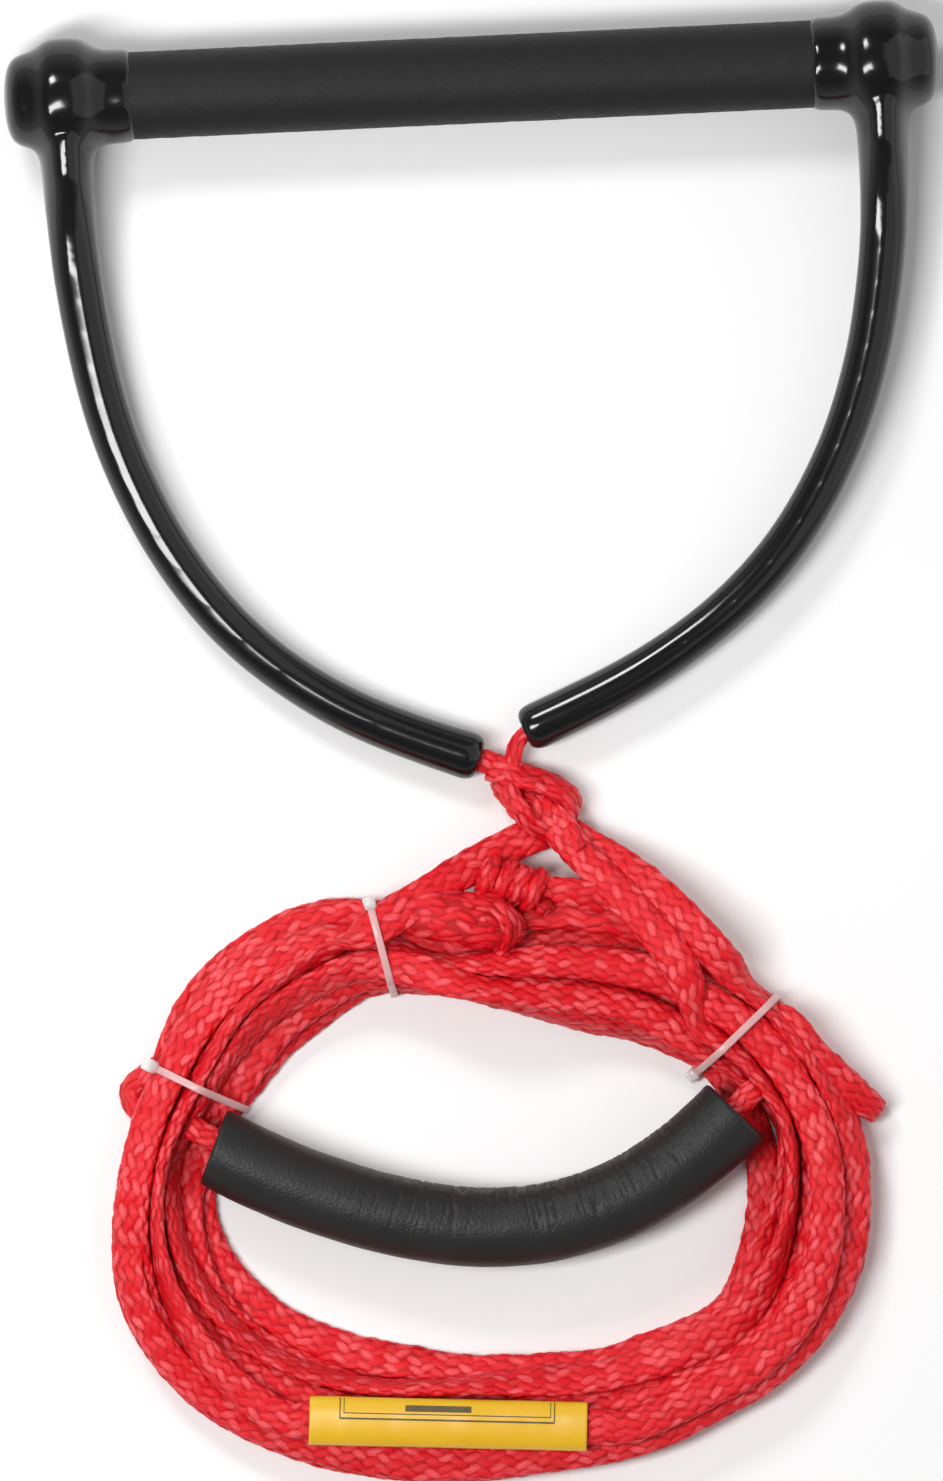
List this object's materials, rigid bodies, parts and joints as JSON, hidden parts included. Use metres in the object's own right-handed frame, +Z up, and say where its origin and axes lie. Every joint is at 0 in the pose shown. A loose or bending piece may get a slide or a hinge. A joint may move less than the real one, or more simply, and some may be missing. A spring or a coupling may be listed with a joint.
{
  "type": "tow rope handle",
  "caption": "Padded straight tow handle on a rubber-dipped rope bridle, knotted to a flat braided tow line tied up in an oval coil with a foam float and a yellow sleeve.",
  "frame": {"origin": "middle of the handle's footprint on the floor it lies on, without the rope coil", "axes": "+X along the handle bar, +Y from the coil towards the bar, +Z up"},
  "size_m": [0.305, 0.4767, 0.0392],
  "materials": {
    "dipped_pvc": "gloss",
    "grip_eva": "matte closed-cell foam",
    "float_eva": "matte closed-cell foam, wrinkled",
    "aluminium_tube": "mill",
    "plug_plastic": "moulded",
    "red_rope": "flat hollow braid, satin",
    "yellow_vinyl": "semi-gloss film",
    "tie_nylon": "translucent"
  },
  "bodies": {
    "rope_coil": {"coil_bundle": "red_rope", "bridle_knot": "red_rope", "lead_left": "red_rope", "lead_right_outer": "red_rope", "lead_right_inner": "red_rope", "end_loop_right": "red_rope", "rope_tail_left": "red_rope", "takeoff_knot_a": "red_rope", "takeoff_knot_b": "red_rope", "float_strand": "red_rope", "sleeve_strand": "red_rope", "cable_tie_left": "tie_nylon", "cable_tie_top": "tie_nylon", "cable_tie_right": "tie_nylon"},
    "handle": {"bar_tube": "aluminium_tube", "grip_foam": "grip_eva", "end_plug_left": "plug_plastic", "end_boot_left": "dipped_pvc", "bridle_sleeve_left": "dipped_pvc", "bridle_rope_left": "red_rope", "end_plug_right": "plug_plastic", "end_boot_right": "dipped_pvc", "bridle_sleeve_right": "dipped_pvc", "bridle_rope_right": "red_rope"},
    "float": {"float_foam": "float_eva"},
    "sleeve": {"warning_sleeve": "yellow_vinyl"}
  },
  "joints": [
    {"name": "handle_fold", "type": "hinge", "parent": "rope_coil", "child": "handle", "pos_m": [0, -0.11931, 0.00829], "axis": [1, 0, 0], "range_deg": [0, 90]},
    {"name": "float_slide", "type": "hinge", "parent": "rope_coil", "child": "float", "pos_m": [-0.0159, -0.1414, 0.019], "axis": [0, 0, 1], "range_deg": [-1.5, 1.5]},
    {"name": "warning_slide", "type": "slide", "parent": "rope_coil", "child": "sleeve", "axis": [0.9976, -0.0698, 0], "range_m": [-0.008, 0.008]}
  ]
}
